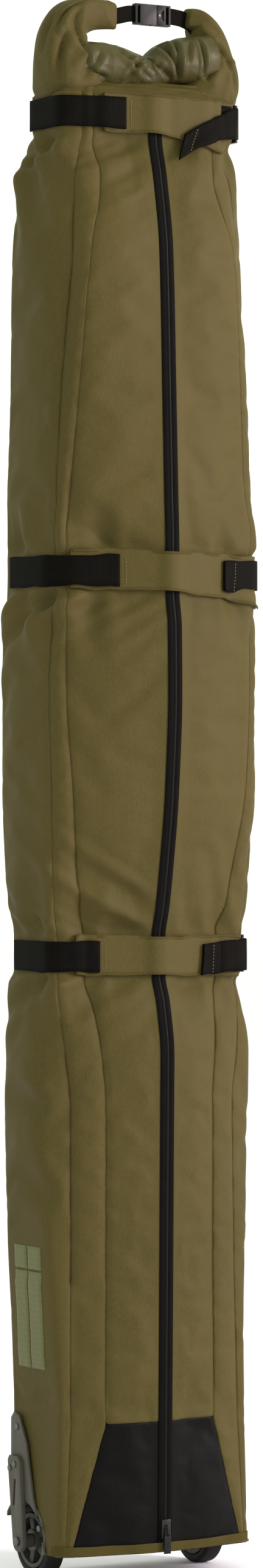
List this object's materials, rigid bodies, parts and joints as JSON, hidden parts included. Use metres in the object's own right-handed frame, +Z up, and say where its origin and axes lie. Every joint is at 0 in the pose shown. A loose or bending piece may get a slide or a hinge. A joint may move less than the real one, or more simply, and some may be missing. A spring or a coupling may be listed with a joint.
{
  "type": "snowboard bag",
  "caption": "Padded roll-top snowboard bag on wheels: long front zipper, compression straps with ladder locks, buckled top loop, toe panels and moulded wheel corners.",
  "frame": {"origin": "on the floor under the middle of the standing bag, at the bottom of the wheels", "axes": "+Z up the bag's length from its wheels to its roll-top, +Y out of its stiff back, the zipped front facing -Y, +X to the right of someone facing the zipper"},
  "size_m": [0.3088, 0.1833, 1.9609],
  "materials": {
    "olive_fabric": "coated woven polyester, satin",
    "coated_fabric": "inner coating of the same cloth, glossy",
    "toe_fabric": "black coated tarpaulin, matt",
    "patch": "moulded rubbery patch",
    "zipper": "woven tape with a nylon coil",
    "zip_pull": "moulded",
    "dark_metal": "black enamel",
    "webbing": "ribbed polyester webbing",
    "buckle_plastic": "moulded acetal",
    "housing_plastic": "fine textured",
    "wheel_plastic": "moulded",
    "tyre_rubber": "smooth rubber",
    "steel": "dark zinc",
    "board": "polyethylene sheet"
  },
  "bodies": {
    "bag": {"back_board": "board", "back_panel": "olive_fabric", "base_board": "board", "base_panel": "olive_fabric", "buckle_female": "buckle_plastic", "buckle_male": "buckle_plastic", "collar": "olive_fabric", "left_axle_bolt": "steel", "left_front_panel": "olive_fabric", "left_gusset": "olive_fabric", "left_housing_fasteners": "steel", "left_loop_webbing": "webbing", "left_roll_end": "olive_fabric", "left_side_panel": "olive_fabric", "left_toe_panel": "toe_fabric", "left_wheel_housing": "housing_plastic", "left_wheel_strut": "housing_plastic", "left_zip_tape": "zipper", "lower_strap": "webbing", "lower_strap_anchor": "webbing", "lower_strap_cover": "olive_fabric", "middle_strap": "webbing", "middle_strap_anchor": "webbing", "middle_strap_cover": "olive_fabric", "right_axle_bolt": "steel", "right_front_panel": "olive_fabric", "right_gusset": "olive_fabric", "right_housing_fasteners": "steel", "right_loop_webbing": "webbing", "right_roll_end": "olive_fabric", "right_side_panel": "olive_fabric", "right_toe_panel": "toe_fabric", "right_wheel_housing": "housing_plastic", "right_wheel_strut": "housing_plastic", "right_zip_tape": "zipper", "rolled_closure": "coated_fabric", "side_patch": "patch", "upper_strap": "webbing", "upper_strap_anchor": "webbing", "upper_strap_cover": "olive_fabric", "zip_coil": "zipper", "zip_stops": "dark_metal"},
    "left_wheel": {"left_wheel_core": "wheel_plastic", "left_tyre": "tyre_rubber", "left_wheel_bearings": "steel"},
    "right_wheel": {"right_wheel_core": "wheel_plastic", "right_tyre": "tyre_rubber", "right_wheel_bearings": "steel"},
    "zip_slider": {"zip_slider": "dark_metal"},
    "zip_pull": {"zip_pull": "zip_pull"},
    "upper_lock": {"upper_ladder_lock": "buckle_plastic", "upper_strap_tail": "webbing"},
    "middle_lock": {"middle_ladder_lock": "buckle_plastic", "middle_strap_tail": "webbing"},
    "lower_lock": {"lower_ladder_lock": "buckle_plastic", "lower_strap_tail": "webbing"},
    "upper_prong": {"buckle_upper_prong": "buckle_plastic"},
    "lower_prong": {"buckle_lower_prong": "buckle_plastic"}
  },
  "joints": [
    {"name": "left_wheel_spin", "type": "hinge", "parent": "bag", "child": "left_wheel", "pos_m": [-0.115, 0.038, 0.045], "axis": [1, 0, 0], "continuous": true},
    {"name": "right_wheel_spin", "type": "hinge", "parent": "bag", "child": "right_wheel", "pos_m": [0.115, 0.038, 0.045], "axis": [1, 0, 0], "continuous": true},
    {"name": "zip_slide", "type": "slide", "parent": "bag", "child": "zip_slider", "axis": [0, -0.0116, 0.9999], "range_m": [0, 0.56]},
    {"name": "zip_pull_swing", "type": "hinge", "parent": "zip_slider", "child": "zip_pull", "pos_m": [0, -0.07932, 0.06392], "axis": [-1, 0, 0], "range_deg": [0, 170]},
    {"name": "upper_lock_tilt", "type": "hinge", "parent": "bag", "child": "upper_lock", "pos_m": [0.1314, 0.002, 1.815], "axis": [0, 0, 1], "range_deg": [0, 25]},
    {"name": "middle_lock_tilt", "type": "hinge", "parent": "bag", "child": "middle_lock", "pos_m": [0.1514, 0.004, 1.247], "axis": [0, 0, 1], "range_deg": [0, 25]},
    {"name": "lower_lock_tilt", "type": "hinge", "parent": "bag", "child": "lower_lock", "pos_m": [0.1434, 0.006, 0.772], "axis": [0, 0, 1], "range_deg": [0, 25]},
    {"name": "upper_prong_squeeze", "type": "hinge", "parent": "bag", "child": "upper_prong", "pos_m": [0.0319, 0.006, 1.9554], "axis": [0, -1, 0], "range_deg": [0, 6], "stiffness_Nm_per_rad": 0.5},
    {"name": "lower_prong_squeeze", "type": "hinge", "parent": "bag", "child": "lower_prong", "pos_m": [0.0319, 0.006, 1.9406], "axis": [0, 1, 0], "range_deg": [0, 6], "stiffness_Nm_per_rad": 0.5}
  ],
  "couplings": [
    {"joint": "lower_prong_squeeze", "follows": "upper_prong_squeeze", "ratio": 1}
  ]
}
